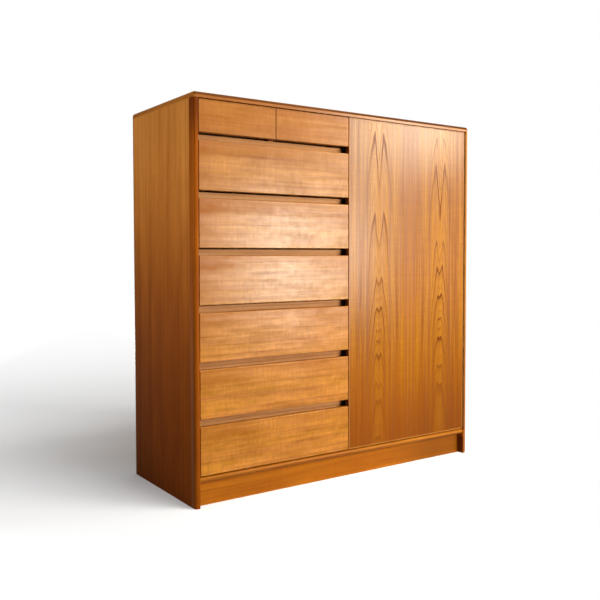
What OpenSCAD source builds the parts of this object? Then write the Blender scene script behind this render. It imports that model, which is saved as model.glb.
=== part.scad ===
/* [Case] */
// Overall width over the two sides
case_w = 1182; // [1000:1:1400]
// Overall depth from the front edge to the back edge
case_d = 472; // [400:1:560]
// Overall height from the floor to the top
case_h = 1270; // [1100:1:1450]
// Thickness of the side, top, bottom and upright panels
panel_t = 18; // [16:0.5:22]
// Radius of the rounded outer edges of the sides and the top
edge_r = 10; // [6:0.5:12]
// Radius eased on the inner front edge of each side
inner_edge_r = 3; // [1:0.5:5]
// Depth of the solid lipping on the front edge of each side
side_lipping_d = 27; // [20:1:40]
// Depth of the solid strip on the back edge of each side
back_strip_d = 12; // [12:1:30]
// Width of the solid lipping round the top
top_lipping_w = 22; // [16:1:26]
// Depth of the grooves that house one panel in another
housing_d = 5; // [3:0.5:7]

/* [Base] */
// Height of the plinth under the bottom panel
plinth_h = 77; // [50:1:110]
// Thickness of the plinth boards
plinth_t = 18; // [14:0.5:22]
// Setback of the plinth boards from the front and back edges
plinth_setback = 25; // [10:1:60]
// Depth of the solid nosing on the bottom panel
nosing_d = 24; // [18:1:40]
// Setback of the nosing from the front edge of the sides
nosing_setback = 2; // [0:0.5:5]

/* [Back] */
// Thickness of the back sheet
back_t = 5; // [4:0.5:8]
// Distance of the back sheet's outer face from the back edge
back_inset = 3; // [1:0.5:6]
// Width of the rebate in the sides and the top that takes the back sheet
back_rebate_w = 6; // [4:0.5:6]

/* [Fronts] */
// Thickness of the drawer fronts and the door
front_t = 18; // [16:0.5:22]
// Setback of the fronts from the front edge of the sides
front_setback = 3; // [1:0.5:6]
// Gap between a front and the case, or between two fronts side by side
front_gap = 3; // [2:0.25:4]
// Gap between the fronts and the top
front_top_gap = 2; // [1.5:0.25:4]
// Height of the finger slot between one front and the next
finger_gap = 24; // [20:1:30]
// Height of the two small drawer fronts at the top
small_front_h = 100; // [80:0.5:130]
// Width of the left small drawer front
small_left_w = 275; // [240:1:310]
// Radius eased on the long front edges of the drawer fronts
front_edge_r = 2; // [1:0.25:4]
// Gap between the small drawers' fronts and the divider behind them
divider_gap = 1; // [0.5:0.25:2]

/* [Drawer boxes] */
// Clear width of the drawer bay between the left side and the partition
drawer_bay_w = 568; // [480:1:650]
// Thickness of the drawer sides and backs
box_t = 12; // [10:0.5:14]
// Gap between a drawer side and the case
box_gap = 4; // [3:0.25:6]
// Height of the drawer sides above the bottom edge of the front
box_lift = 4; // [2:0.5:8]
// Drop of the drawer sides below the top edge of the front
box_drop = 11; // [10:0.5:16]
// Space behind the drawer boxes
box_back_gap = 10; // [6:1:20]
// Thickness of the drawer bottoms
bottom_t = 5; // [4:0.5:6]
// Height of the drawer bottom above the lower edge of the sides
bottom_lift = 8; // [6:0.5:12]
// Depth of the grooves and housings inside the drawer
box_groove_d = 5; // [4:0.5:6]
// Depth of the dovetail that joins a side to its front
dovetail_d = 9; // [6:0.5:11]
// Spread of the dovetail on each face of the side
dovetail_flare = 1.5; // [1:0.25:2]
// How far the drawer sides run past the drawer back
box_tail = 12; // [4:1:20]
// Drop of the drawer back below the top of the sides
back_drop = 8; // [0:0.5:12]
// Play of a loose panel in its groove
groove_play = 0.2; // [0.1:0.05:0.4]

/* [Drawer runners] */
// Height of the hardwood runner strips
runner_h = 14; // [10:1:18]
// Depth of the runner groove in the drawer side
runner_groove_d = 7; // [5:0.5:8]
// Running clearance above and below a runner
runner_clear = 0.3; // [0.2:0.05:0.6]
// Clearance between the runner's edge and the bottom of its groove
runner_side_clear = 0.5; // [0.3:0.1:1]
// Setback of the runners behind the front faces of the rails
runner_setback = 2; // [0:0.5:20]
// Distance of the runners' back ends from the back ends of the drawer sides
runner_end_gap = 4; // [2:0.5:20]
// How far a drawer opens
drawer_travel = 330; // [200:1:380]

/* [Rails] */
// Distance of the rails and the partition behind the face of the fronts
rail_setback = 31; // [28:0.5:40]
// Thickness of the rails from front to back
rail_t = 18; // [16:0.5:24]
// Height of the rails
rail_h = 28; // [26:0.5:34]
// Drop of a rail's top below the front above it
rail_drop = 4; // [4:0.5:6]
// Thickness of the tenon on each end of a rail
tenon_t = 9; // [6:0.5:10]
// Distance of the tenons behind the partition's lipping
tenon_setback = 1; // [0.5:0.5:2]
// Thickness of the dark lipping on the partition
partition_lipping_t = 6; // [4:0.5:8]

/* [Shelves] */
// Thickness of the loose shelves
shelf_t = 16; // [14:0.5:20]
// Setback of the shelves behind the partition's front edge
shelf_setback = 7; // [4:1:40]
// Gap at each end of a shelf
shelf_gap = 1.5; // [1.3:0.1:3]
// Gap between the shelves and the back sheet
shelf_back_gap = 2; // [1:0.5:10]
// Diameter of the shelf pins
pin_d = 5; // [4:0.5:7]
// Depth of the shelf pin holes
pin_hole_d = 9; // [7:0.5:12]
// Length of the peg that carries the shelf
pin_peg_l = 9; // [7:0.5:14]
// Diameter of the collar on a shelf pin
pin_collar_d = 9; // [8:0.5:12]
// Thickness of the collar on a shelf pin
pin_collar_t = 1; // [0.6:0.1:1.2]
// Distance of the shelf pins from the front and back of a shelf
pin_inset = 60; // [40:1:120]
// Gap between a pin and the shelf it carries
pin_seat_gap = 0.2; // [0.1:0.05:0.4]
// Radial play of a shelf pin in its hole
pin_play = 0.05; // [0.02:0.01:0.1]
// Space between a pin's end and the bottom of its hole
pin_end_gap = 0.5; // [0.3:0.1:1]

/* [Door] */
// Width of the solid lipping round the door
door_lipping_w = 4; // [3:0.5:8]
// Radius eased on the front edges of the door
door_edge_r = 1.5; // [1:0.25:3]
// Space between the door and the side that its hinge fills
hinge_space = 5.6; // [5.2:0.1:7]
// Depth by which the hinge is let into the side
hinge_let_in = 5; // [3:0.5:6]
// Diameter of the hinge knuckles
knuckle_d = 5; // [4.4:0.1:5]
// Length of one hinge knuckle
knuckle_l = 30; // [20:1:50]
// Gap between neighbouring knuckles
knuckle_gap = 0.4; // [0.3:0.05:0.8]
// Diameter of the hinge pin
hinge_pin_d = 2; // [1.6:0.1:2.4]
// Radial play of the hinge pin in its knuckles
hinge_play = 0.05; // [0.03:0.01:0.1]
// Thickness of the hinge leaves
leaf_t = 1.2; // [0.8:0.1:1.4]
// Width of a hinge leaf behind the pin
leaf_w = 14; // [12:0.5:16]
// Distance between the knuckles and the flat part of a leaf
leaf_gap = 0.3; // [0.2:0.1:0.6]
// Distance of the hinge's ends from the ends of the door
hinge_inset = 6; // [4:1:40]
// Distance between neighbouring hinge screws
screw_pitch = 120; // [90:5:200]
// Diameter of the hinge screws' shanks
screw_d = 2.6; // [2:0.1:3]
// Length of the hinge screws
screw_l = 10; // [8:1:12]
// Diameter of the hinge screws' countersunk heads
screw_head_d = 4.8; // [4:0.1:5.6]

/* [Catch] */
// Width of the magnetic catch
catch_w = 44; // [30:1:60]
// Depth of the magnetic catch
catch_d = 20; // [14:1:30]
// Height of the magnetic catch
catch_h = 14; // [10:1:18]
// Width of the steel plate that the magnet holds
catch_plate_w = 40; // [20:1:60]
// Height of the steel plate
catch_plate_h = 10; // [6:0.5:12]
// Thickness of the steel plate
catch_plate_t = 1.5; // [1:0.25:2]
// Distance of the plate from the top edge of the door
catch_plate_inset = 1; // [0.5:0.5:2]
// Gap between the closed plate and the magnet
catch_gap = 0.3; // [0.2:0.05:0.6]
// Distance of the catch from the partition
catch_inset = 30; // [10:1:120]

/* [Hidden] */
$fn = 48;
eps = 0.01;
cut = 1;
large_rows = 6;
shelf_count = 4;

large_names = [for (i = [1:large_rows]) str("drawer_", i)];
drawer_names = concat(["small_left", "small_right"], large_names);
drawer_parts = ["front", "sides", "back", "bottom"];
case_nodes = [
    "left_side", "right_side", "front_lippings", "back_strips",
    "top_panel", "top_front_lipping", "top_end_lippings",
    "bottom_panel", "bottom_nosing", "plinth_front", "plinth_back",
    "partition", "partition_lipping", "small_divider", "back_sheet",
    "drawer_rails", "drawer_runners", "shelves", "shelf_pins",
    "hinge_case_leaf", "hinge_pin", "hinge_case_screws", "magnet_catch",
];
door_nodes = [
    "door_panel", "door_lippings", "hinge_door_leaf",
    "hinge_door_screws", "catch_plate",
];
drawer_nodes = [for (d = drawer_names) for (p = drawer_parts) str(d, "_", p)];

// Colours as the photograph shows them
teak = [0.72, 0.42, 0.18];
teak_light = [0.82, 0.53, 0.26];
teak_dark = [0.5, 0.24, 0.1];
black_stain = [0.05, 0.04, 0.04];
birch = [0.86, 0.74, 0.55];
beech = [0.8, 0.6, 0.4];
brass = [0.65, 0.55, 0.3];
brown_plastic = [0.3, 0.22, 0.16];
steel = [0.62, 0.62, 0.62];

// Planes of the case, with the front at -Y and the floor at Z = 0
left_x = -case_w / 2;
right_x = case_w / 2;
front_y = -case_d / 2;
back_y = case_d / 2;
face_y = front_y + front_setback;
front_back_y = face_y + front_t;
sheet_y = back_y - back_inset - back_t;
top_under_z = case_h - panel_t;
floor_z = plinth_h + panel_t;

// Drawer bay, partition and door bay
bay_x0 = left_x + panel_t;
bay_x1 = bay_x0 + drawer_bay_w;
part_x0 = bay_x1;
part_x1 = part_x0 + panel_t;
part_mid = (part_x0 + part_x1) / 2;
door_bay_x0 = part_x1;
door_bay_x1 = right_x - panel_t;
rail_y = face_y + rail_setback;

// Heights of the fronts
fronts_z0 = floor_z + front_gap;
fronts_z1 = top_under_z - front_top_gap;
large_front_h = (fronts_z1 - fronts_z0 - small_front_h - large_rows * finger_gap) / large_rows;
row_pitch = large_front_h + finger_gap;
small_z0 = fronts_z1 - small_front_h;
function row_z0(i) = fronts_z0 + (large_rows - i) * row_pitch;
function slot_top(i) = row_z0(i) + large_front_h + finger_gap;
function rail_z0(i) = slot_top(i) - rail_drop - rail_h;

// Widths of the fronts
fronts_x0 = bay_x0 + front_gap;
fronts_x1 = part_mid - front_gap / 2;
split_x = fronts_x0 + small_left_w + front_gap / 2;
div_x0 = split_x - panel_t / 2;
div_x1 = split_x + panel_t / 2;
div_front_y = front_back_y + divider_gap;
div_z0 = slot_top(1) - rail_drop;

// One drawer: front left and right, bay left and right, bottom and height of the front
function drawer_spec(d) =
    d == "small_left" ? [fronts_x0, split_x - front_gap / 2, bay_x0, div_x0, small_z0, small_front_h] :
    d == "small_right" ? [split_x + front_gap / 2, fronts_x1, div_x1, bay_x1, small_z0, small_front_h] :
    [fronts_x0, fronts_x1, bay_x0, bay_x1, row_z0(search([d], large_names)[0] + 1), large_front_h];
function box_x0(s) = s[2] + box_gap;
function box_x1(s) = s[3] - box_gap;
function box_z0(s) = s[4] + box_lift;
function box_h(s) = s[5] - box_lift - box_drop;
function runner_z(s) = box_z0(s) + box_h(s) / 2;
box_y1 = sheet_y - box_back_gap;
runner_y0 = rail_y + runner_setback;
runner_y1 = box_y1 - runner_end_gap;
runner_d = box_gap + runner_groove_d - runner_side_clear;

// Door and its hinge
door_x0 = part_mid + front_gap / 2;
rebate_x = door_bay_x1 + hinge_let_in;
door_x1 = rebate_x - hinge_space;
door_h = fronts_z1 - fronts_z0;
hinge_x = rebate_x - hinge_space / 2;
hinge_y = face_y;
hinge_z0 = fronts_z0 + hinge_inset;
hinge_l = door_h - 2 * hinge_inset;
knuckle_n = 2 * floor(hinge_l / knuckle_l / 2) + 1;
knuckle_step = hinge_l / knuckle_n;
leaf_y0 = knuckle_d / 2 + leaf_gap;
screw_n = floor((hinge_l - screw_pitch / 2) / screw_pitch) + 1;
screw_z0 = hinge_z0 + (hinge_l - (screw_n - 1) * screw_pitch) / 2;
screw_y = hinge_y + (leaf_y0 + leaf_w) / 2;

// Magnetic catch
catch_x = door_bay_x0 + catch_inset;
catch_y = front_back_y + catch_plate_t + catch_gap;

// Shelves at equal heights in the door bay
shelf_step = (top_under_z - floor_z) / (shelf_count + 1);
shelf_y0 = rail_y + shelf_setback;
shelf_y1 = sheet_y - shelf_back_gap;
function shelf_z(k) = floor_z + k * shelf_step - shelf_t / 2;

// A box between two corners
module block(a, b) {
    translate(a) cube([b[0] - a[0], b[1] - a[1], b[2] - a[2]]);
}

// A square with its four corners rounded
module rounded_rect(w, d, r) {
    square([w - 2 * r, d], center = true);
    square([w, d - 2 * r], center = true);
    for (x = [-1, 1], y = [-1, 1])
        translate([x * (w / 2 - r), y * (d / 2 - r)]) circle(r);
}

// A board with rounded upright corners and a rounded upper edge all round
module rounded_board(w, d, t, r) {
    linear_extrude(t - r) rounded_rect(w, d, r);
    translate([0, 0, t / 2]) cube([w - 2 * r, d - 2 * r, t], center = true);
    for (s = [-1, 1]) {
        translate([0, s * (d / 2 - r), t - r]) rotate([0, 90, 0])
            cylinder(r = r, h = w - 2 * r, center = true);
        translate([s * (w / 2 - r), 0, t - r]) rotate([90, 0, 0])
            cylinder(r = r, h = d - 2 * r, center = true);
        for (f = [-1, 1]) translate([s * (w / 2 - r), f * (d / 2 - r), t - r]) sphere(r);
    }
}

// Section of a strip whose two front corners are eased by r0 and r1, front at y = 0
module eased_strip(w, d, r0, r1) {
    translate([r0, 0]) square([w - r0 - r1, d]);
    if (r0 > 0) {
        translate([0, r0]) square([r0, d - r0]);
        eased_corner(r0);
    }
    if (r1 > 0) {
        translate([w - r1, r1]) square([r1, d - r1]);
        translate([w, 0]) mirror([1, 0]) eased_corner(r1);
    }
}

// Quarter round of radius r that fills a corner at the origin
module eased_corner(r) {
    intersection() {
        square(r);
        translate([r, r]) circle(r);
    }
}

// Case

// Rebate that takes the back sheet at the left side and in the top
module back_rebate() {
    w = back_rebate_w;
    block([bay_x0 - w, sheet_y, plinth_h], [bay_x0 + cut, back_y + cut, top_under_z + cut]);
    block([bay_x0 - w, sheet_y, top_under_z - cut], [w - bay_x0, back_y + cut, top_under_z + w]);
}

// Groove that houses the bottom panel in the left side
module bottom_housing() {
    block([bay_x0 - housing_d, front_y, plinth_h], [bay_x0 + cut, back_y, floor_z]);
}

// Left side: veneered board, housed for the bottom, the rails and the back sheet
module side_board() {
    difference() {
        block([left_x, front_y + side_lipping_d, 0], [bay_x0, back_y - back_strip_d, top_under_z]);
        bottom_housing();
        back_rebate();
    }
}

module left_side() {
    color(teak) difference() {
        side_board();
        rail_tenons(housing_d);
    }
}

module right_side() {
    color(teak) difference() {
        mirror([1, 0, 0]) side_board();
        hinge_rebate();
        shelf_pin_holes(1);
    }
}

// Solid lippings on the front edges of both sides
module front_lipping() {
    translate([left_x, front_y, 0]) linear_extrude(top_under_z)
        eased_strip(panel_t, side_lipping_d, edge_r, inner_edge_r);
}

module front_lippings() {
    color(teak_dark) {
        front_lipping();
        difference() {
            mirror([1, 0, 0]) front_lipping();
            hinge_rebate();
            hinge_screw_holes(1);
        }
    }
}

// Solid strips on the back edges of both sides, rebated for the back sheet
module back_strips() {
    color(teak_dark) for (m = [0, 1]) mirror([m, 0, 0]) difference() {
        translate([left_x, back_y, 0]) mirror([0, 1, 0]) linear_extrude(top_under_z)
            eased_strip(panel_t, back_strip_d, edge_r, 0);
        bottom_housing();
        back_rebate();
        if (m == 0) rail_tenons(housing_d);
    }
}

// Top: a rounded board, split into the veneered panel and its mitred lippings
module top_board() {
    translate([0, 0, top_under_z]) rounded_board(case_w, case_d, panel_t, edge_r);
}

module top_panel() {
    w = top_lipping_w;
    color(teak) difference() {
        intersection() {
            top_board();
            block([left_x + w, front_y + w, top_under_z], [right_x - w, back_y, case_h]);
        }
        block([part_x0, rail_y, top_under_z - cut], [part_x1, sheet_y, top_under_z + housing_d]);
        block([div_x0, front_y, top_under_z - cut], [div_x1, sheet_y, top_under_z + housing_d]);
        back_rebate();
    }
}

module top_front_lipping() {
    w = top_lipping_w;
    color(teak_dark) intersection() {
        top_board();
        translate([0, 0, top_under_z]) linear_extrude(panel_t)
            polygon([[left_x, front_y], [right_x, front_y],
                [right_x - w, front_y + w], [left_x + w, front_y + w]]);
    }
}

module top_end_lippings() {
    w = top_lipping_w;
    plan = [[left_x, front_y], [left_x + w, front_y + w], [left_x + w, back_y], [left_x, back_y]];
    color(teak_dark) for (m = [0, 1]) mirror([m, 0, 0]) difference() {
        intersection() {
            top_board();
            translate([0, 0, top_under_z]) linear_extrude(panel_t) polygon(plan);
        }
        back_rebate();
    }
}

// Bottom panel, housed in both sides, with a solid nosing between them
module bottom_panel() {
    nose_y = front_y + nosing_setback + nosing_d;
    y0 = max(front_y + side_lipping_d, nose_y);
    color(teak) difference() {
        union() {
            block([bay_x0 - housing_d, y0, plinth_h], [door_bay_x1 + housing_d, sheet_y, floor_z]);
            block([bay_x0, nose_y, plinth_h], [door_bay_x1, sheet_y, floor_z]);
        }
        block([part_x0, rail_y, floor_z - housing_d], [part_x1, sheet_y + cut, floor_z + cut]);
    }
}

module bottom_nosing() {
    r = panel_t / 2;
    y0 = front_y + nosing_setback;
    color(teak_light) translate([bay_x0, y0, plinth_h]) rotate([90, 0, 90])
        linear_extrude(door_bay_x1 - bay_x0) {
            translate([r, 0]) square([nosing_d - r, panel_t]);
            translate([r, r]) circle(r);
        }
}

module plinth_board(y0) {
    block([bay_x0, y0, 0], [door_bay_x1, y0 + plinth_t, plinth_h]);
}

module plinth_front() {
    color(teak) plinth_board(front_y + plinth_setback);
}

module plinth_back() {
    color(teak_dark) plinth_board(back_y - plinth_setback - plinth_t);
}

// Upright partition between the drawers and the door bay
module partition() {
    y0 = rail_y + partition_lipping_t;
    color(birch) difference() {
        block([part_x0, y0, floor_z - housing_d], [part_x1, sheet_y, top_under_z + housing_d]);
        rail_tenons(housing_d);
        shelf_pin_holes(-1);
    }
}

module partition_lipping() {
    y1 = rail_y + partition_lipping_t;
    color(black_stain)
        block([part_x0, rail_y, floor_z - housing_d], [part_x1, y1, top_under_z + housing_d]);
}

// Short upright between the two small drawers
module small_divider() {
    color(teak) difference() {
        block([div_x0, div_front_y, div_z0], [div_x1, sheet_y, top_under_z + housing_d]);
        block([div_x0 - cut, div_front_y - cut, div_z0 - cut], [div_x1 + cut, rail_y, small_z0]);
        block([div_x0 - cut, div_front_y - cut, top_under_z],
            [div_x1 + cut, front_y + top_lipping_w, top_under_z + housing_d + cut]);
    }
}

// Back sheet, let into the sides and the top
module back_sheet() {
    w = back_rebate_w - groove_play;
    color(birch) block([bay_x0 - w, sheet_y, plinth_h + groove_play],
        [door_bay_x1 + w, sheet_y + back_t, top_under_z + w]);
}

// Front of a rail's tenons: i is the large drawer below the rail, and 0 the rail at the back
function tenon_y(i) = i > 0 ? rail_y + partition_lipping_t + tenon_setback : sheet_y - tenon_t;

// Stub tenons of all rails, reaching l past the drawer bay
module rail_tenons(l) {
    for (i = [0:large_rows]) {
        z0 = rail_z0(max(i, 1));
        block([bay_x0 - l, tenon_y(i), z0], [bay_x1 + l, tenon_y(i) + tenon_t, z0 + rail_h]);
    }
}

// Rails behind the finger slots and one at the back, each with a stub tenon at both ends
module drawer_rails() {
    color(teak_light) {
        for (i = [0:large_rows]) {
            y0 = i > 0 ? rail_y : sheet_y - rail_t;
            z0 = rail_z0(max(i, 1));
            block([bay_x0, y0, z0], [bay_x1, y0 + rail_t, z0 + rail_h]);
        }
        rail_tenons(housing_d);
    }
}

// Hardwood strips that the grooved drawer sides run on
module drawer_runners() {
    z = runner_h / 2;
    color(beech) for (d = drawer_names) {
        s = drawer_spec(d);
        block([s[2], runner_y0, runner_z(s) - z], [s[2] + runner_d, runner_y1, runner_z(s) + z]);
        block([s[3] - runner_d, runner_y0, runner_z(s) - z], [s[3], runner_y1, runner_z(s) + z]);
    }
}

// Loose shelves behind the door
module shelves() {
    color(birch) for (k = [1:shelf_count])
        block([door_bay_x0 + shelf_gap, shelf_y0, shelf_z(k)],
            [door_bay_x1 - shelf_gap, shelf_y1, shelf_z(k) + shelf_t]);
}

// Places of the shelf pins: s is -1 at the partition and 1 at the right side
module at_shelf_pins(s) {
    x = s < 0 ? door_bay_x0 : door_bay_x1;
    for (k = [1:shelf_count], y = [shelf_y0 + pin_inset, shelf_y1 - pin_inset])
        translate([x, y, shelf_z(k) - pin_d / 2 - pin_seat_gap]) rotate([0, -90 * s, 0]) children();
}

module shelf_pin_holes(s) {
    at_shelf_pins(s) translate([0, 0, -pin_hole_d])
        cylinder(r = pin_d / 2 + pin_play, h = pin_hole_d + cut);
}

module shelf_pins() {
    in_hole = pin_hole_d - pin_end_gap;
    color(brass) for (s = [-1, 1]) at_shelf_pins(s) {
        translate([0, 0, -in_hole]) cylinder(d = pin_d, h = in_hole + pin_peg_l);
        cylinder(d = pin_collar_d, h = pin_collar_t);
    }
}

// Drawers

// Sliding dovetails that join both sides of a drawer to its front, widening towards the front
module dovetails(s) {
    f = dovetail_flare;
    for (x = [box_x0(s), box_x1(s) - box_t])
        translate([x, front_back_y, box_z0(s)]) linear_extrude(box_h(s))
            polygon([[f, 0], [box_t - f, 0], [box_t, -dovetail_d], [0, -dovetail_d]]);
}

// Space of the drawer bottom, widened by g into the grooves and by play above and below
module bottom_space(s, g, play) {
    z0 = box_z0(s) + bottom_lift;
    block([box_x0(s) + box_t - g, front_back_y - g, z0 - play],
        [box_x1(s) - box_t + g, box_y1, z0 + bottom_t + play]);
}

module drawer_front(d) {
    s = drawer_spec(d);
    color(teak_light) difference() {
        translate([s[0], face_y, s[4]]) rotate([90, 0, 90]) linear_extrude(s[1] - s[0])
            translate([0, s[5]]) rotate(-90) eased_strip(s[5], front_t, front_edge_r, front_edge_r);
        dovetails(s);
        bottom_space(s, box_groove_d, groove_play / 2);
    }
}

module drawer_sides(d) {
    s = drawer_spec(d);
    z = runner_h / 2 + runner_clear;
    color(birch) difference() {
        union() {
            for (x = [box_x0(s), box_x1(s) - box_t])
                block([x, front_back_y, box_z0(s)], [x + box_t, box_y1, box_z0(s) + box_h(s)]);
            dovetails(s);
        }
        bottom_space(s, box_groove_d, groove_play / 2);
        drawer_back_space(s, box_groove_d);
        for (x = [box_x0(s) + runner_groove_d - box_gap - box_t, box_x1(s) - runner_groove_d])
            block([x, front_back_y, runner_z(s) - z],
                [x + box_t + box_gap, box_y1 + cut, runner_z(s) + z]);
    }
}

// Space of the drawer back, housed g deep into the sides
module drawer_back_space(s, g) {
    y1 = box_y1 - box_tail;
    block([box_x0(s) + box_t - g, y1 - box_t, box_z0(s) + bottom_lift + bottom_t + groove_play],
        [box_x1(s) - box_t + g, y1, box_z0(s) + box_h(s) - back_drop]);
}

module drawer_back(d) {
    s = drawer_spec(d);
    color(birch) drawer_back_space(s, box_groove_d);
}

module drawer_bottom(d) {
    s = drawer_spec(d);
    color(birch) bottom_space(s, box_groove_d - groove_play, 0);
}

// Door

module door_panel() {
    w = door_lipping_w;
    color(teak) difference() {
        block([door_x0 + w, face_y, fronts_z0 + w], [door_x1 - w, front_back_y, fronts_z1 - w]);
        hinge_screw_holes(-1);
    }
}

module door_lippings() {
    w = door_lipping_w;
    r = door_edge_r;
    color(teak_dark) {
        translate([door_x0, face_y, fronts_z0]) linear_extrude(door_h) eased_strip(w, front_t, r, 0);
        difference() {
            translate([door_x1 - w, face_y, fronts_z0]) linear_extrude(door_h)
                eased_strip(w, front_t, 0, r);
            hinge_screw_holes(-1);
        }
        for (z = [fronts_z0, fronts_z1 - w])
            block([door_x0 + w, face_y, z], [door_x1 - w, front_back_y, z + w]);
    }
}

// Rebate in the side for the hinge and the edge of the door
module hinge_rebate() {
    block([door_bay_x1 - cut, front_y - cut, floor_z],
        [rebate_x, front_back_y + leaf_gap, top_under_z + cut]);
}

// Continuous hinge: s is 1 for the leaf on the side and -1 for the leaf on the door
module hinge_leaf(s) {
    half = hinge_space / 2;
    plate_x = s > 0 ? half - leaf_t : -half;
    first = s > 0 ? 0 : 1;
    translate([hinge_x, hinge_y, hinge_z0]) difference() {
        union() {
            translate([plate_x, leaf_y0, 0]) cube([leaf_t, leaf_w - leaf_y0, hinge_l]);
            for (i = [first:2:knuckle_n - 1]) translate([0, 0, i * knuckle_step + knuckle_gap / 2]) {
                h = knuckle_step - knuckle_gap;
                cylinder(d = knuckle_d, h = h);
                translate([plate_x, 0, 0]) cube([leaf_t, leaf_y0 + eps, h]);
            }
        }
        translate([0, 0, -cut]) cylinder(r = hinge_pin_d / 2 + hinge_play, h = hinge_l + 2 * cut);
    }
}

// Places of the hinge screws, each pointing away from the hinge
module at_hinge_screws(s) {
    for (i = [0:screw_n - 1])
        translate([hinge_x + s * (hinge_space / 2 - leaf_t), screw_y, screw_z0 + i * screw_pitch])
            rotate([0, 90 * s, 0]) children();
}

module hinge_screw_shape(play) {
    cylinder(r = screw_d / 2 + play, h = screw_l);
    cylinder(r1 = screw_head_d / 2 + play, r2 = screw_d / 2 + play, h = leaf_t);
}

module hinge_screw_holes(s) {
    at_hinge_screws(s) hinge_screw_shape(hinge_play);
}

module hinge_case_leaf() {
    color(brass) difference() {
        hinge_leaf(1);
        hinge_screw_holes(1);
    }
}

module hinge_door_leaf() {
    color(brass) difference() {
        hinge_leaf(-1);
        hinge_screw_holes(-1);
    }
}

module hinge_case_screws() {
    color(brass) at_hinge_screws(1) hinge_screw_shape(0);
}

module hinge_door_screws() {
    color(brass) at_hinge_screws(-1) hinge_screw_shape(0);
}

module hinge_pin() {
    color(steel) translate([hinge_x, hinge_y, hinge_z0]) cylinder(d = hinge_pin_d, h = hinge_l);
}

// Magnetic catch under the top and its plate on the door
module magnet_catch() {
    color(brown_plastic) block([catch_x, catch_y, top_under_z - catch_h],
        [catch_x + catch_w, catch_y + catch_d, top_under_z]);
}

module catch_plate() {
    x0 = catch_x + (catch_w - catch_plate_w) / 2;
    z1 = fronts_z1 - catch_plate_inset;
    color(steel) block([x0, front_back_y, z1 - catch_plate_h],
        [x0 + catch_plate_w, front_back_y + catch_plate_t, z1]);
}

left_side();
right_side();
front_lippings();
back_strips();
top_panel();
top_front_lipping();
top_end_lippings();
bottom_panel();
bottom_nosing();
plinth_front();
plinth_back();
partition();
partition_lipping();
small_divider();
back_sheet();
drawer_rails();
drawer_runners();
shelves();
shelf_pins();
hinge_case_leaf();
hinge_pin();
hinge_case_screws();
magnet_catch();
door_panel();
door_lippings();
hinge_door_leaf();
hinge_door_screws();
catch_plate();
for (d = drawer_names) {
    drawer_front(d);
    drawer_sides(d);
    drawer_back(d);
    drawer_bottom(d);
}
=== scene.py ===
import math

import bmesh
import bpy
from mathutils import Matrix, Vector


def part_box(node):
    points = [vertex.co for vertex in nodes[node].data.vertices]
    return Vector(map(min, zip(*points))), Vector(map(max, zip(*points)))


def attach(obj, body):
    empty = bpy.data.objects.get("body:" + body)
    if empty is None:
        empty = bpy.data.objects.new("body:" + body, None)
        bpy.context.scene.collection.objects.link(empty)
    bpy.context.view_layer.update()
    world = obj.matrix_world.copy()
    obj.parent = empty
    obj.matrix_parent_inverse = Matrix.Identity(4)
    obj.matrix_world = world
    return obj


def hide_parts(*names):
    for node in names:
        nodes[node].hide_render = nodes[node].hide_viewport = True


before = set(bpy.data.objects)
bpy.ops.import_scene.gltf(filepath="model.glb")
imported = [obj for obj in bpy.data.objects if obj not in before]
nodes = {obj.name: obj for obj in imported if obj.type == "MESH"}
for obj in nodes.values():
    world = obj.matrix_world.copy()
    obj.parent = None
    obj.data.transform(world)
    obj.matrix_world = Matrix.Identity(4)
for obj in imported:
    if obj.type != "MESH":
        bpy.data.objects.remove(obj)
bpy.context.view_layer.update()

# The two corners of a node's box, and the axes: X to the right, Y to the back and Z up
LOW, HIGH = 0, 1
X, Y, Z = 0, 1, 2


# Node maths


class Channel:
    """A socket of a node tree, so that its maths reads as ordinary sums."""

    def __init__(self, graph, socket):
        self.graph = graph
        self.socket = socket

    def math(self, operation, *values):
        return self.graph.node("ShaderNodeMath", {"operation": operation}, dict(enumerate(values)))

    def __add__(self, other):
        return self.math("ADD", self, other)

    def __radd__(self, other):
        return self.math("ADD", other, self)

    def __sub__(self, other):
        return self.math("SUBTRACT", self, other)

    def __rsub__(self, other):
        return self.math("SUBTRACT", other, self)

    def __mul__(self, other):
        return self.math("MULTIPLY", self, other)

    def __rmul__(self, other):
        return self.math("MULTIPLY", other, self)

    def __truediv__(self, other):
        return self.math("DIVIDE", self, other)

    def __pow__(self, other):
        return self.math("POWER", self, other)

    def __abs__(self):
        return self.math("ABSOLUTE", self)

    def floor(self):
        return self.math("FLOOR", self)

    def fract(self):
        return self.math("FRACT", self)

    def least(self, other):
        return self.math("MINIMUM", self, other)

    def most(self, other):
        return self.math("MAXIMUM", self, other)

    def held(self):
        """The channel held between 0 and 1."""
        return self.most(0.0).least(1.0)

    def step(self, low, high, start=0.0, end=1.0):
        """Runs smoothly from start to end as the channel goes from low to high."""
        ramp = {"interpolation_type": "SMOOTHSTEP"}
        values = {"Value": self, "From Min": low, "From Max": high, "To Min": start, "To Max": end}
        return self.graph.node("ShaderNodeMapRange", ramp, values)


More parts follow.
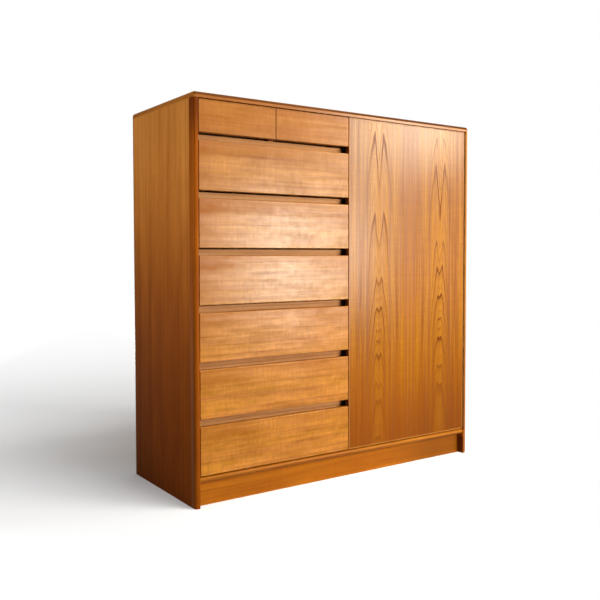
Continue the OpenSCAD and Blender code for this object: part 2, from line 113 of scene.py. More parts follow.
class Graph:
    """A node tree that is built from Python."""

    def __init__(self, tree):
        self.tree = tree
        self.tree.nodes.clear()

    def node(self, kind, settings=None, values=None, out=0):
        """Adds any node: its settings first, then the values or links of its sockets.

        What comes back is the channel of its output, or none where it has no output.
        """
        made = self.tree.nodes.new(kind)
        for key, value in (settings or {}).items():
            if key == "stops":
                self.set_stops(made.color_ramp, value)
            else:
                setattr(made, key, value)
        for key, value in (values or {}).items():
            socket = made.inputs[key]
            if isinstance(value, Channel):
                self.tree.links.new(value.socket, socket)
            elif isinstance(value, tuple) and len(value) == 3 and socket.type == "RGBA":
                socket.default_value = (*value, 1)
            else:
                socket.default_value = value
        return Channel(self, made.outputs[out]) if len(made.outputs) else None

    @staticmethod
    def set_stops(ramp, stops):
        """Gives a ramp its (place, grey level) stops, the first and the last on its own two."""
        first, *between, last = stops
        for element, (place, level) in ((ramp.elements[0], first), (ramp.elements[-1], last)):
            element.position = place
            element.color = (level, level, level, 1)
        for place, level in between:
            ramp.elements.new(place).color = (level, level, level, 1)

    def vector(self, x, y, z):
        return self.node("ShaderNodeCombineXYZ", None, {"X": x, "Y": y, "Z": z})

    def split(self, vector):
        """The three channels of a vector."""
        return [self.node("ShaderNodeSeparateXYZ", None, {0: vector}, out=axis) for axis in "XYZ"]

    def rays(self):
        """1 for rays from the camera, from a glossy surface and through glass, one channel each."""
        kinds = ("Is Camera Ray", "Is Glossy Ray", "Is Transmission Ray")
        return [self.node("ShaderNodeLightPath", out=kind) for kind in kinds]


class Finish(Graph):
    """A material that is built from nodes."""

    # The colour sockets of a Mix node, which shares their names with its other kinds
    SHARE, FIRST, SECOND, MIXED = 0, 6, 7, 2

    def __init__(self, name):
        self.material = bpy.data.materials.new(name)
        self.material.use_nodes = True
        super().__init__(self.material.node_tree)

    def place(self):
        """The three channels of the piece's own coordinates, in metres."""
        return self.split(self.node("ShaderNodeTexCoord", out="Object"))

    def noise(self, x, y, z, detail=2.0, roughness=0.5):
        """Noise around 0, from about -0.5 to 0.5."""
        values = {"Vector": self.vector(x, y, z), "Scale": 1.0}
        values.update({"Detail": detail, "Roughness": roughness})
        return self.node("ShaderNodeTexNoise", None, values) - 0.5

    def mix(self, share, first, second):
        """The first colour where the share is 0, and the second where it is 1."""
        values = {self.SHARE: share, self.FIRST: first, self.SECOND: second}
        return self.node("ShaderNodeMix", {"data_type": "RGBA"}, values, out=self.MIXED)

    def shade(self, colour, factor):
        """A colour made lighter or darker by a factor."""
        values = {0: colour, "Scale": factor}
        return self.node("ShaderNodeVectorMath", {"operation": "SCALE"}, values)

    def surface(self, colour, roughness, height, depth, others):
        """Ends the material. Its relief is the height channel, times a depth in metres."""
        bump = {"Height": height, "Distance": depth, "Strength": 1.0}
        bump = self.node("ShaderNodeBump", None, bump)
        values = {"Base Color": colour, "Roughness": roughness, "Normal": bump, **others}
        shader = self.node("ShaderNodeBsdfPrincipled", None, values)
        self.node("ShaderNodeOutputMaterial", None, {"Surface": shader})
        return self.material


def tone(red, green, blue):
    """A colour as a screen shows it, 0 to 255, made linear by the sRGB curve."""
    return tuple(
        v / 12.92 if v <= 0.04045 else ((v + 0.055) / 1.055) ** 2.4
        for v in (red / 255, green / 255, blue / 255)
    )


# Wood
#
# A noise's factors are waves per metre along the grain, across it and through the board, and a
# number added to a place shifts the figure, so that no two kinds of board look the same. In
# step() come two places on the chest, in metres, and then the values there.

# Roughness of the lacquer that lies as a coat over the satin finish
LACQUER_ROUGHNESS = 0.27
# Depth of the growth lines and pores, in metres
GRAIN_RELIEF = 0.0001
# How far the growth lines wander, in metres
GRAIN_WANDER = 0.008


def boards(finish, grain, shift):
    """Channels along the grain, across it and through the board, for a grain along X, Y or Z.

    The shift along the grain, and about a third of it across, gives a board its own figure.
    """
    x, y, z = finish.place()
    along, across, through = {X: (x, z, y), Y: (y, x, z), Z: (z, x, y)}[grain]
    return along + shift, across + shift * 0.37, through


def straight_figure(finish, along, across, through, line_waves=125):
    """Growth lines, broad bands, clouds, pores and cross figure of straight-grained wood."""
    across = across + finish.noise(along * 1.4, across * 5, through * 5) * GRAIN_WANDER

    def waves(lengthwise, crosswise, **quality):
        return finish.noise(along * lengthwise, across * crosswise, through * crosswise, **quality)

    return {
        "bands": waves(0.5, 22),
        "clouds": waves(4.5, 17),
        "lines": waves(1.6, line_waves, detail=4, roughness=0.65),
        "pores": waves(48, 1100, detail=1).step(0.08, 0.2),
        "cross": waves(125, 16, roughness=0.6),
    }


def figured(finish, figure, pale, deep, line, contrast=1.0, cross=0.14, broad=1.0):
    """The colour of a figure between a pale and a deep tone, with darker lines and pores."""
    share = (figure["bands"] * 1.2 + figure["clouds"]) * broad + figure["lines"] * contrast
    colour = finish.mix((0.5 + share).held(), pale, deep)
    dark_lines = figure["lines"].step(0.03, 0.26) * 0.2 * contrast
    colour = finish.mix(dark_lines, colour, line)
    dark_pores = figure["pores"] * 0.2
    colour = finish.mix(dark_pores, colour, line)
    return finish.shade(colour, 1.0 + figure["cross"] * cross)


def satin(finish, figure, colour, roughness, gloss, marks=None, shimmer=0.06, lacquer=None):
    """A satin finish over wood: its lines, pores and marks show in the relief and the gloss.

    The shimmer is how much the cross figure does so, and the lacquer is the share of a coat.
    """
    height = figure["lines"] * 0.4 - figure["pores"] * 0.6
    roughness = roughness + figure["lines"] * 0.1 + figure["pores"] * 0.1
    roughness = roughness + figure["cross"] * shimmer
    if marks is not None:
        height = height - marks
        roughness = roughness + marks * 0.3
    others = {"Specular IOR Level": gloss}
    if lacquer is not None:
        others.update({"Coat Weight": lacquer, "Coat Roughness": LACQUER_ROUGHNESS})
    return finish.surface(colour, roughness, height, GRAIN_RELIEF, others)


def wood(
    name, grain, pale, deep, line, shift=0.0, contrast=1.0, cross=0.14, roughness=0.42, gloss=0.35,
):
    """Straight-grained wood between a pale and a deep tone, with darker growth lines."""
    finish = Finish(name)
    along, across, through = boards(finish, grain, shift)
    figure = straight_figure(finish, along, across, through)
    colour = figured(finish, figure, pale, deep, line, contrast, cross)
    return satin(finish, figure, colour, roughness, gloss)


def sequence_matched(name, foot, pitch, pale, deep, line):
    """Front veneer whose leaves were cut one after the other, so each row nearly repeats the last.

    Rows count up from 0, the lowest wide drawer, to 6, the two small ones. The foot is the lowest
    front's lower edge, and the pitch the height of a row.
    """
    lower_to_upper, wide_to_small = (1.5, 3.5), (5.4, 5.6)
    # How far each leaf's figure lies from that of the leaf below, in metres
    slide_along, slide_across, slide_through = 0.021, 0.0035, 0.004
    finish = Finish(name)
    x, y, z = finish.place()
    leaf = (z - foot) / pitch
    row = leaf.floor()
    height = leaf.fract() * pitch
    along, across = x + row * slide_along, height + row * slide_across
    through = y + row * slide_through
    across = across + finish.noise(along * 6, across * 16, row * 0.4) * GRAIN_WANDER
    figure = straight_figure(finish, along, across, through, line_waves=80)
    patches = finish.noise(along * 8, across * 45, through * 45)
    figure["cross"] = figure["cross"] * (patches * 3.5 + 0.8).most(0.2)
    colour = figured(finish, figure, pale, deep, line, contrast=1.4, cross=0.36, broad=0.9)

    # Ribs and fleck, calmer on the upper fronts
    stripes = finish.noise(along * 1.1, across * 150, through * 150, detail=1)
    fleck = finish.noise(along * 90, across * 40, through * 40, detail=3, roughness=0.7)
    grain = stripes * 0.36 + fleck * 0.52 + patches * row.step(*lower_to_upper, 0.95, 0.5)
    # Painted shade: a darker base on the upper fronts, a lighter one on the lowest
    colour = finish.shade(colour, (1.0 + grain) * row.step(*lower_to_upper, 1.06, 0.88))

    # A deeper band along the upper edge of each front, and painted shade on the left ends above
    drift = finish.noise(along * 3.2, height * 9, row * 0.3)
    band = (height + drift * 0.07).step(0.09, 0.128)
    band = band * (drift + 0.45 - along * 0.35).step(0.2, 0.9)
    painted_left_shade = along.step(-0.57, -0.35, 0.9, 0.0) * row.step(1.0, 4.0)
    deeper = band * 0.75 + row.step(*wide_to_small) * 0.45 + painted_left_shade
    colour = finish.mix(deeper.least(1.0), colour, deep)

    # Lacquer, thinner on the small fronts and towards both ends
    lacquer = (0.64 + grain * 1.5 - band * 0.24) * row.step(*lower_to_upper, 1.0, 1.06)
    lacquer = lacquer * row.step(*wide_to_small, 1.0, 0.74)
    lacquer = lacquer * along.step(-0.57, -0.4, 0.8, 1.0) * along.step(-0.25, -0.05, 1.0, 0.84)
    return satin(
        finish, figure, colour, roughness=0.4, gloss=0.08, shimmer=0.12, lacquer=lacquer
    )


def plinth_board(name, crown, pale, deep, line):
    """Plinth veneer, with painted shade in the corner under the nosing and towards the right end.
    """
    finish = Finish(name)
    x, y, z = finish.place()
    figure = straight_figure(finish, x + 7.9, z + 2.9, y)
    colour = figured(finish, figure, pale, deep, line, contrast=1.3)
    # Painted shade under the nosing, and darker towards the right end
    painted_corner_shade = z.step(crown - 0.009, crown - 0.003) * x.step(-0.35, 0.1, 0.3, 0.6)
    colour = finish.shade(colour, x.step(0.15, 0.45, 1.08, 0.7) * (1.0 - painted_corner_shade))
    return satin(finish, figure, colour, roughness=0.42, gloss=0.08)


def flame(finish, across, z, centre, crests):
    """The outlines and the glow of a column of nested, pointed arches with the given crests."""
    # The heights between which growth rings are told apart, in metres
    foot, head = 0.05, 1.3
    rings = len(crests) + 1
    stops = [
        ((crest - foot) / (head - foot), 1.0 - place / rings)
        for place, crest in enumerate(sorted(crests), 1)
    ]
    ramp = {"stops": [(0.0, 1.0), *stops, (1.0, 0.0)]}

    # Along one growth ring the climb stays the same: its legs fall away outside the peaks, and
    # between the peaks it dips
    side = abs(across - centre)
    peak = z.step(0.66, 0.86, 0.0095, 0.019)
    outward = side - peak + finish.noise(z * 9, centre, 2.2) * 0.012
    outward = outward + finish.noise(z * 30, across * 26, centre * 5, detail=3) * 0.009
    legs = outward.most(0.0) ** 1.45 * 24
    dip = (0.0 - outward).most(0.0) ** 1.2 * z.step(0.6, 0.9, 2.6, 20.0)
    wander = finish.noise(z * 7, across * 34, centre * 9) * 0.034
    climb = z + wander + legs + dip
    mark = finish.node("ShaderNodeValToRGB", ramp, {0: (climb - foot) / (head - foot)})
    level = finish.node("ShaderNodeRGBToBW", None, {0: mark}) * rings

    # Each ring is sharp and dark at its outer line and fades inwards, with finer lines between
    phase = level.fract()
    finer = (level * 3).fract()
    turn = finish.noise(level.floor() * 0.83, centre * 11, side * 20 + z * 3) + 0.5
    sharp = (1.0 - phase * 4.5).most(0.0) * 1.3 + (1.0 - phase * 1.8).most(0.0) * 0.35
    edge = (sharp * phase.step(0.0, 0.012)).least(1.0)
    edge = edge.most((1.0 - phase * 2.5).most(0.0) * side.step(0.002, 0.011, 0.7, 0.0))
    edge = (edge * turn.step(0.3, 0.55, 0.55, 1.0)).most((1.0 - finer * 2).most(0.0) * 0.3)
    edge = edge * z.step(0.25, 0.5, 0.5, 1.0)
    fade = side.step(0.02, 0.06, 1.0, 0.3) * level.step(0.005, 0.02)
    return edge * fade, side.step(0.0, 0.055, 1.0, 0.0)


def crown_cut(name, seam, columns, pale, deep, low, rib, line):
    """Book-matched crown-cut veneer, its grain along Z, with a flame on both sides of the seam."""
    finish = Finish(name)
    x, y, z = finish.place()
    across = x + finish.noise(z * 1.6, x * 5, 0.3) * 0.006
    from_seam = abs(across - seam)
    figure = straight_figure(finish, z, from_seam, y, line_waves=72)
    colour = figured(finish, figure, pale, deep, line, contrast=2.9, cross=0.35, broad=0.5)
    ribs = finish.noise(z * 0.9, from_seam * 120, y * 120, detail=1)

    # Deeper at the seam and low down, and ribbed; painted shade darkens the lower right, the top
    # and the foot
    heart = from_seam.step(0.0, 0.075, 1.0, 0.0) * 0.35
    colour = finish.mix(heart.most(z.step(0.1, 0.58, 0.8, 0.0)), colour, low)
    colour = finish.mix((ribs * 5.0).most(0.0).least(0.75), colour, rib)
    painted_door_shade = x.step(0.15, 0.5, 0.0, 0.16) * z.step(0.2, 0.7, 1.0, 0.0)
    painted_door_shade = painted_door_shade + z.step(0.7, 1.1, 0.0, 0.13) + z.step(0.06, 0.34, 0.15, 0.0)
    colour = finish.shade(colour, 1.0 - painted_door_shade)

    (left_edges, left_glow), (right_edges, right_glow) = [
        flame(finish, across, z, centre, crests) for centre, crests in columns
    ]
    edges, glow = left_edges.most(right_edges), left_glow.most(right_glow)
    colour = finish.mix(glow * z.step(0.2, 0.8, 0.25, 0.5), colour, pale)
    colour = finish.mix(edges, colour, line)

    # Lacquer, worn off towards the floor
    lacquer = z.step(0.3, 0.85, 0.04, 0.66) + x.step(0.2, 0.5) * z.step(1.0, 1.2, 0.0, 0.25)
    lacquer = (lacquer + ribs * 0.9 - edges * 0.4).held()
    return satin(
        finish, figure, colour, roughness=0.4, gloss=0.06, marks=edges * 0.5, shimmer=0.0,
        lacquer=lacquer,
    )


def rounded_edge(name, crown, pale, deep, line):
    """Lipping along X whose rounded upper edge has a painted dark reflection, deeper to the right,
    over a satin lower face.
    """
    finish = Finish(name)
    x, y, z = finish.place()
    figure = straight_figure(finish, x + 4.4, z, y)
    colour = figured(finish, figure, pale, deep, line, contrast=1.6, cross=0.06)
    # Painted dark reflection on the upper rounding, deeper towards the right
    painted_dark_rounding = z.step(crown - 0.011, crown - 0.0085)
    colour = finish.mix(painted_dark_rounding * x.step(-0.3, 0.3, 0.75, 0.97), colour, line)
    lacquer = (1.0 - painted_dark_rounding) * 0.66
    return satin(finish, figure, colour, roughness=0.4, gloss=0.03, lacquer=lacquer)


def recess_shade(x, z, inner):
    """The share of painted shade on the inner faces of the sides, next to the plinth board."""
    return abs(x).step(inner + 0.001, inner + 0.003, 0.8, 0.0) * z.step(0.06, 0.075, 1.0, 0.0)


def sides_with_painted_light(name, inner, pale, deep, line, pale_top, deep_top):
    """Upright veneer of the sides: painted light pales it towards the top, and painted shade
    darkens it towards the back low down and in the plinth recess.
    """
    finish = Finish(name)
    x, y, z = finish.place()
    figure = straight_figure(finish, z + 1.7, y + 0.6, x)
    # Painted light: paler towards the top
    painted_top_light = z.step(0.15, 1.25) ** 1.6
    pale, deep = finish.mix(painted_top_light, pale, pale_top), finish.mix(painted_top_light, deep, deep_top)
    colour = figured(finish, figure, pale, deep, line, cross=0.06)
    # Painted shade: darker towards the back, low down
    colour = finish.shade(colour, 1.04 - y.step(-0.05, 0.22) * z.step(0.3, 1.1, 0.2, 0.0))
    colour = finish.mix(recess_shade(x, z, inner), colour, line)
    return satin(finish, figure, colour, roughness=0.55, gloss=0.03)


def front_edge(name, inner, pale, deep, line, paler_right):
    """Upright lippings: the right one is paler, the more so higher up, and the left one has a
    painted dark reflection near its top.
    """
    finish = Finish(name)
    x, y, z = finish.place()
    figure = straight_figure(finish, z + 2.2, x + 0.8, y)
    colour = figured(finish, figure, pale, deep, line, contrast=1.6, cross=0.06)
    right = x.step(0.0, 0.1)
    # The right one paler, the more so higher up
    colour = finish.mix(right * z.step(0.1, 0.7, 0.2, 0.85), colour, paler_right)
    # Painted dark reflection near the top of the left lipping
    colour = finish.mix((1.0 - right) * z.step(1.1, 1.25) * 0.7, colour, line)
    colour = finish.mix(recess_shade(x, z, inner), colour, line)
    return satin(finish, figure, colour, roughness=0.36, gloss=0.05)


def door_edge(name, face, pale, deep, line):
    """Thin lippings of the door: as pale as its veneer in front, and darker on the edges."""
    finish = Finish(name)
    x, y, z = finish.place()
    figure = straight_figure(finish, z + 2.2, x + 0.8, y)
    colour = figured(finish, figure, pale, deep, line, contrast=1.6, cross=0.06)
    colour = finish.mix(y.step(face + 0.0005, face + 0.003) * 0.75, colour, line)
    return satin(finish, figure, colour, roughness=0.3, gloss=0.3)


# Tones of the woods, as pale, deep and line
honey, amber = tone(206, 133, 22), tone(166, 92, 10)
russet, umber = tone(118, 54, 14), tone(92, 38, 10)
plinth_tones = (tone(207, 123, 25), tone(165, 85, 14), russet)
side_tones = (tone(182, 90, 9), tone(144, 66, 5), umber)
# Tones of the sides at the top, where painted light pales them
side_tones_painted_lit = (tone(213, 141, 68), tone(175, 106, 44))
inner_tones = (tone(198, 156, 104), tone(170, 124, 76), tone(130, 84, 46))
box_tones = (tone(218, 186, 136), tone(194, 156, 104), tone(156, 114, 68))
runner_tones = (tone(208, 160, 110), tone(184, 132, 86), tone(142, 92, 56))
sheet_tones = (tone(198, 156, 106), tone(170, 126, 78), tone(128, 86, 48))
stained_tones = (tone(30, 23, 20), tone(18, 13, 12), tone(8, 6, 6))
back_strip_tones = (tone(150, 76, 18), tone(106, 44, 8), umber)
side_lipping_tones = (tone(182, 97, 13), tone(136, 62, 6), umber, tone(196, 130, 56))
cross_lipping_tones = (tone(180, 106, 18), tone(140, 72, 10), tone(84, 44, 10))
end_lipping_tones = (tone(188, 116, 44), tone(142, 80, 26), umber)
door_lipping_tones = (tone(194, 122, 24), tone(154, 84, 12), umber)
nosing_tones = (tone(194, 120, 22), tone(154, 82, 10), russet)
rail_tones = (tone(230, 168, 110), tone(198, 128, 74), russet)

# Places on the chest that the finishes follow, in metres
row_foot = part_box("drawer_6_front")[LOW][Z]
row_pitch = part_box("drawer_5_front")[LOW][Z] - row_foot
inner_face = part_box("right_side")[LOW][X]
door_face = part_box("door_panel")[LOW][Y]
plinth_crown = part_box("plinth_front")[HIGH][Z]
lipping_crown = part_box("top_front_lipping")[HIGH][Z]
door_seam = 0.2915
# The middle of each column of flames, and the heights of its crests
door_flames = [
    (0.142, (1.215, 0.93, 0.7, 0.592, 0.512, 0.475, 0.43, 0.32, 0.262, 0.13)),
    (0.444, (1.22, 1.13, 0.83, 0.74, 0.63, 0.54, 0.505, 0.47, 0.364, 0.295)),
]

# Finishes of the fronts, the door and the case
front_wood = sequence_matched(
    "front_veneer", row_foot, row_pitch, honey, amber, tone(134, 74, 16)
)
door_wood = crown_cut(
    "door_veneer", door_seam, door_flames,
    pale=tone(190, 122, 18), deep=tone(157, 88, 10), low=tone(152, 74, 6),
    rib=tone(141, 75, 14), line=tone(116, 56, 12),
)
side_wood = sides_with_painted_light("side_veneer", inner_face, *side_tones, *side_tones_painted_lit)
top_wood = wood("top_veneer", X, honey, amber, russet, 5.3, roughness=0.62, gloss=0.06)
plinth_wood = wood("plinth_veneer", X, *plinth_tones, 7.9, contrast=1.3, gloss=0.08)
plinth_front_wood = plinth_board("plinth_front_veneer", plinth_crown, *plinth_tones)
solid_edge = {"contrast": 1.6, "cross": 0.06, "roughness": 0.36}
back_strip = wood("upright_lipping", Z, *back_strip_tones, 2.2, gloss=0.15, **solid_edge)
end_lipping = wood("end_lipping", Y, *end_lipping_tones, 6.1, gloss=0.1, **solid_edge)
side_lipping = front_edge("side_lipping", inner_face, *side_lipping_tones)
cross_lipping = rounded_edge("cross_lipping", lipping_crown, *cross_lipping_tones)
door_lipping = door_edge("door_lipping", door_face, *door_lipping_tones)
nosing_wood = wood("nosing", X, *nosing_tones, 8.3, contrast=1.6, roughness=0.34, gloss=0.1)
rail_wood = wood("rail", X, *rail_tones, 9.7, contrast=2.0, gloss=0.1)
stained_wood = wood("stained_lipping", Z, *stained_tones, roughness=0.6, gloss=0.2)

# Finishes of what the fronts and the door hide
inner_wood = wood("inner_veneer", Z, *inner_tones, 2.9, contrast=0.7)
shelf_wood = wood("shelf_veneer", X, *inner_tones, 3.7, contrast=0.7)
box_side_wood = wood("drawer_side", Y, *box_tones, 4.9, contrast=0.6)
box_back_wood = wood("drawer_back", X, *box_tones, 5.9, contrast=0.6)
runner_wood = wood("runner", Y, *runner_tones, 6.9, contrast=0.6)
sheet_wood = wood("ply_sheet", X, *sheet_tones, 7.2, contrast=0.8, roughness=0.6)


# Metal and plastic


def metal(name, bright, dull, roughness):
    """Drawn or plated metal with faint lengthwise lines and dull patches."""
    line_waves, line_depth = 900.0, 0.00003
    finish = Finish(name)
    x, y, z = finish.place()
    lines = finish.noise(x * line_waves, y * line_waves, z * 12)
    patch = finish.noise(x * 60, y * 60, z * 25, detail=3)
    colour = finish.mix((0.5 + patch * 2.2).held(), bright, dull)
    roughness = roughness + patch * 0.25 + lines * 0.1
    return finish.surface(colour, roughness, lines, line_depth, {"Metallic": 1.0})


def moulded(name, colour):
    """Matte moulded plastic with a fine spark texture."""
    spark_waves, spark_depth = 1500, 0.00006
    finish = Finish(name)
    x, y, z = finish.place()
    spark = finish.noise(x * spark_waves, y * spark_waves, z * spark_waves)
    mottled = finish.mix(0.5 + spark, colour, tuple(v * 0.8 for v in colour))
    return finish.surface(mottled, 0.5 + spark * 0.15, spark, spark_depth, {})


brass = metal("aged_brass", tone(132, 90, 46), tone(78, 52, 28), 0.46)
steel = metal("plated_steel", tone(190, 190, 188), tone(146, 146, 142), 0.34)
brown_plastic = moulded("brown_plastic", tone(74, 58, 46))

finish_of = {
    "left_side": side_wood,
    "right_side": side_wood,
    "front_lippings": side_lipping,
    "back_strips": back_strip,
    "top_panel": top_wood,
    "top_front_lipping": cross_lipping,
    "top_end_lippings": end_lipping,
    "bottom_panel": plinth_wood,
    "bottom_nosing": nosing_wood,
    "plinth_front": plinth_front_wood,
    "plinth_back": plinth_wood,
    "partition": inner_wood,
    "partition_lipping": stained_wood,
    "small_divider": back_strip,
    "back_sheet": sheet_wood,
    "drawer_rails": rail_wood,
    "drawer_runners": runner_wood,
    "shelves": shelf_wood,
    "shelf_pins": brass,
    "hinge_case_leaf": brass,
    "hinge_pin": steel,
    "hinge_case_screws": brass,
    "magnet_catch": brown_plastic,
    "door_panel": door_wood,
    "door_lippings": door_lipping,
    "hinge_door_leaf": brass,
    "hinge_door_screws": brass,
    "catch_plate": steel,
}
# Every drawer is made of the same kinds of part
drawer_finish = {
    "front": front_wood, "sides": box_side_wood, "back": box_back_wood, "bottom": sheet_wood,
}
for name, node in nodes.items():
    finish = finish_of.get(name) or drawer_finish[name.rsplit("_", 1)[1]]
    for slot in node.material_slots:
        slot.material = finish


# Screws, shelf pins and panel pins


class Pattern(Graph):
    """A Geometry Nodes tree that repeats a fitting, with named inputs for its sizes."""

    def __init__(self, name, sizes):
        super().__init__(bpy.data.node_groups.new(name, "GeometryNodeTree"))
        face = self.tree.interface
        face.new_socket("Fitting", in_out="INPUT", socket_type="NodeSocketGeometry")
        for label, kind in {**sizes, "Axis": "Vector", "Turn": "Float"}.items():
            face.new_socket(label, in_out="INPUT", socket_type="NodeSocket" + kind)
        face.new_socket("Finish", in_out="INPUT", socket_type="NodeSocketMaterial")
        face.new_socket("Fittings", in_out="OUTPUT", socket_type="NodeSocketGeometry")
        self.entry = self.tree.nodes.new("NodeGroupInput")

    def given(self, label):
        return Channel(self, self.entry.outputs[label])

    def set_out(self, points):
        """Puts a fitting on every point, turned about its own axis, and ends the tree."""
        # The third and fourth sockets are the least and the most of a random number
        turn = {2: 0.0, 3: self.given("Turn"), "Seed": 7}
        spin = self.node("FunctionNodeRandomValue", {"data_type": "FLOAT"}, turn, out=1)
        scale = {0: self.given("Axis"), "Scale": spin}
        angle = self.node("ShaderNodeVectorMath", {"operation": "SCALE"}, scale)
        spots = {"Points": points, "Instance": self.given("Fitting"), "Rotation": angle}
        fittings = self.node("GeometryNodeInstanceOnPoints", None, spots)
        fittings = self.node("GeometryNodeRealizeInstances", None, {0: fittings})
        finished = {"Geometry": fittings, "Material": self.given("Finish")}
        finished = self.node("GeometryNodeSetMaterial", None, finished)
        self.node("NodeGroupOutput", None, {0: finished})
        return self.tree


def rows_of_fittings():
    """Fittings in even rows: Count of them a Step apart, in Rows that are an Across apart."""
    sizes = {"Start": "Vector", "Step": "Vector", "Count": "Int", "Across": "Vector", "Rows": "Int"}
    pattern = Pattern("rows_of_fittings", sizes)
    offset = {"mode": "OFFSET", "count_mode": "TOTAL"}
    row = {"Count": pattern.given("Count"), "Start Location": pattern.given("Start")}
    row["Offset"] = pattern.given("Step")
    row = pattern.node("GeometryNodeMeshLine", offset, row)
    rank = {"Count": pattern.given("Rows"), "Offset": pattern.given("Across")}
    rank = pattern.node("GeometryNodeMeshLine", offset, rank)
    grid = pattern.node("GeometryNodeInstanceOnPoints", None, {"Points": row, "Instance": rank})
    return pattern.set_out(pattern.node("GeometryNodeRealizeInstances", None, {0: grid}))


def ring_of_fittings():
    """Fittings round an upright rectangle, a Spacing apart."""
    sizes = {"Centre": "Vector", "Width": "Float", "Height": "Float", "Spacing": "Float"}
    pattern = Pattern("ring_of_fittings", sizes)
    flat = {0: pattern.given("Width"), 1: pattern.given("Height")}
    flat = pattern.node("GeometryNodeCurvePrimitiveQuadrilateral", {"mode": "RECTANGLE"}, flat)
    upright = {"Geometry": flat, "Translation": pattern.given("Centre")}
    upright["Rotation"] = (math.pi / 2, 0.0, 0.0)
    upright = pattern.node("GeometryNodeTransform", None, upright)
    points = {"Curve": upright, "Length": pattern.given("Spacing")}
    points = pattern.node("GeometryNodeResampleCurve", {"mode": "LENGTH"}, points)
    return pattern.set_out(points)


def as_mesh(shape, name):
    """A plain mesh of the shape, shaded sharp at its edges."""
    mesh = bpy.data.meshes.new(name)
    shape.to_mesh(mesh)
    shape.free()
    mesh.set_sharp_from_angle(angle=math.radians(35))
    return mesh


def turned(name, profile, axis, segments=20):
    """A closed turned fitting: (distance along the axis, radius) pairs from end to end."""
    shape = bmesh.new()
    across = [i for i in range(3) if i != axis]
    rings = []
    for along, radius in profile:
        ring = []
        for k in range(segments if radius > 0 else 1):
            angle = 2 * math.pi * k / segments
            spot = [0.0, 0.0, 0.0]
            spot[axis] = along
            spot[across[0]] = radius * math.cos(angle)
            spot[across[1]] = radius * math.sin(angle)
            ring.append(shape.verts.new(spot))
        rings.append(ring)
    for one, two in zip(rings, rings[1:]):
        for k in range(segments):
            here, there = one[k % len(one)], two[k % len(two)]
            next_here, next_there = one[(k + 1) % len(one)], two[(k + 1) % len(two)]
            # At a pole two corners are the same, and the face is a triangle
            corners = dict.fromkeys((here, next_here, next_there, there))
            shape.faces.new(list(corners))
    bmesh.ops.recalc_face_normals(shape, faces=shape.faces)
    for face in shape.faces:
        face.smooth = True
    return as_mesh(shape, name)


def plain_mesh(holder):
    """The mesh that an object's modifiers result in. The object goes."""
    solved = holder.evaluated_get(bpy.context.evaluated_depsgraph_get())
    mesh = bpy.data.meshes.new_from_object(solved)
    bpy.data.objects.remove(holder)
    return mesh


def slotted_screw(aim):
    """A countersunk wood screw along X: its head at 0, and its point towards the aim, 1 or -1."""
    # Sizes in metres
    head_radius, shank_radius, length = 0.00238, 0.00122, 0.01
    profile = [
        (0.0, 0.0), (0.0, 0.00205), (0.00005, 0.00232), (0.0002, head_radius),
        (0.0012, 0.0013), (0.0078, shank_radius), (length, 0.0),
    ]
    # Twice the depth of the slot, then its length and its width
    slot = (0.0011, 0.0064, 0.0008)
    blank = turned("screw_blank", [(along * aim, radius) for along, radius in profile], X)
    blank = bpy.data.objects.new("screw_blank", blank)
    saw = bmesh.new()
    bmesh.ops.create_cube(saw, size=1.0, matrix=Matrix.Diagonal((*slot, 1.0)))
    saw = bpy.data.objects.new("screw_slot", as_mesh(saw, "screw_slot"))
    for part in (blank, saw):
        bpy.context.scene.collection.objects.link(part)
    cut = blank.modifiers.new("slot", "BOOLEAN")
    cut.operation, cut.solver, cut.object = "DIFFERENCE", "EXACT", saw
    screw = plain_mesh(blank)
    bpy.data.objects.remove(saw)
    return screw


def repeated(fitting, tree, finish, **sizes):
    """The fittings that a tree sets out, as one plain mesh."""
    holder = bpy.data.objects.new("fitting_holder", fitting)
    bpy.context.scene.collection.objects.link(holder)
    modifier = holder.modifiers.new("fittings", "NODES")
    modifier.node_group = tree
    for socket in tree.interface.items_tree:
        if socket.in_out == "INPUT" and socket.name != "Fitting":
            modifier[socket.identifier] = finish if socket.name == "Finish" else sizes[socket.name]
    return plain_mesh(holder)


def piece(name, meshes, body, slot, finish, *replaced):
    """Makes one object from the meshes, riding on a body."""
    joined = bmesh.new()
    for mesh in meshes:
        joined.from_mesh(mesh)
    whole = as_mesh(joined, name)
    whole.materials.clear()
    whole.materials.append(finish)
    for polygon in whole.polygons:
        polygon.material_index = 0
    made = bpy.data.objects.new(name, whole)
    bpy.context.scene.collection.objects.link(made)
    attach(made, body)
    if replaced:
        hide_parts(*replaced)


rows = rows_of_fittings()
ring = ring_of_fittings()
one_row = {"Across": (0.0, 0.0, 0.0), "Rows": 1}

# Hinge screws, each stopped at a turn of its own, up to about half a turn
screws_per_leaf, most_turn = 10, 3.1
for leaf, aim in (("case", 1), ("door", -1)):
    low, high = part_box(f"hinge_{leaf}_screws")
    middle = (low[Y] + high[Y]) / 2
    head = (high[Y] - low[Y]) / 2
    screws = repeated(
        slotted_screw(aim), rows, brass,
        Start=(low[X] if aim > 0 else high[X], middle, low[Z] + head),
        Step=(0.0, 0.0, (high[Z] - low[Z] - 2 * head) / (screws_per_leaf - 1)),
        Count=screws_per_leaf, **one_row, Axis=(1.0, 0.0, 0.0), Turn=most_turn,
    )
    piece(f"slotted_screws_{leaf}", [screws], leaf, "brass", brass, f"hinge_{leaf}_screws")

